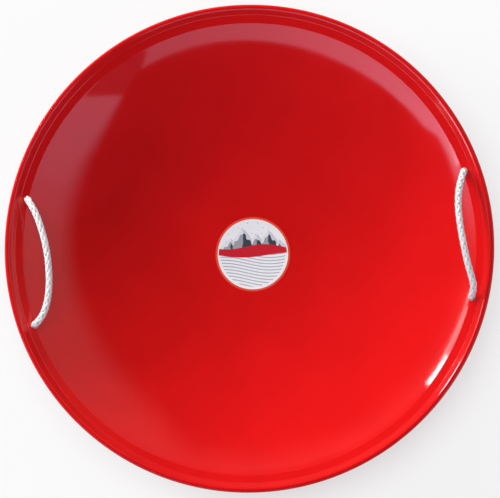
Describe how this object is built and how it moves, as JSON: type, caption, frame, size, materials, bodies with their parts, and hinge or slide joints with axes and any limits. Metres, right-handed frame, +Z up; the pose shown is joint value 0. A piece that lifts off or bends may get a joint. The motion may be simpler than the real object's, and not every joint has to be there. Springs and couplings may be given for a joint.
{
  "type": "saucer sled",
  "caption": "Round pressed-steel saucer sled with a curled rim, a flat centre under a round label, and knotted rope handles at opposite sides for the rider's hands.",
  "frame": {"origin": "centre of the dish's flat underside, on the surface that it rests on", "axes": "+Z up along the dish's axis, out of its hollow; the rope handles face each other along X"},
  "size_m": [0.6603, 0.6604, 0.1205],
  "materials": {
    "red_enamel": "gloss enamel",
    "white_rope": "braided",
    "label_film": "satin print"
  },
  "bodies": {
    "sled": {"dish": "red_enamel", "centre_label": "label_film", "left_back_knot": "white_rope", "left_front_knot": "white_rope", "right_back_knot": "white_rope", "right_front_knot": "white_rope"},
    "left_handle": {"left_rope": "white_rope"},
    "right_handle": {"right_rope": "white_rope"}
  },
  "joints": [
    {"name": "left_handle_swing", "type": "hinge", "parent": "sled", "child": "left_handle", "pos_m": [-0.29499, 0, 0.0903], "axis": [0, 1, 0], "range_deg": [-104, 68]},
    {"name": "right_handle_swing", "type": "hinge", "parent": "sled", "child": "right_handle", "pos_m": [0.29499, 0, 0.0903], "axis": [0, -1, 0], "range_deg": [-56, 90]}
  ]
}
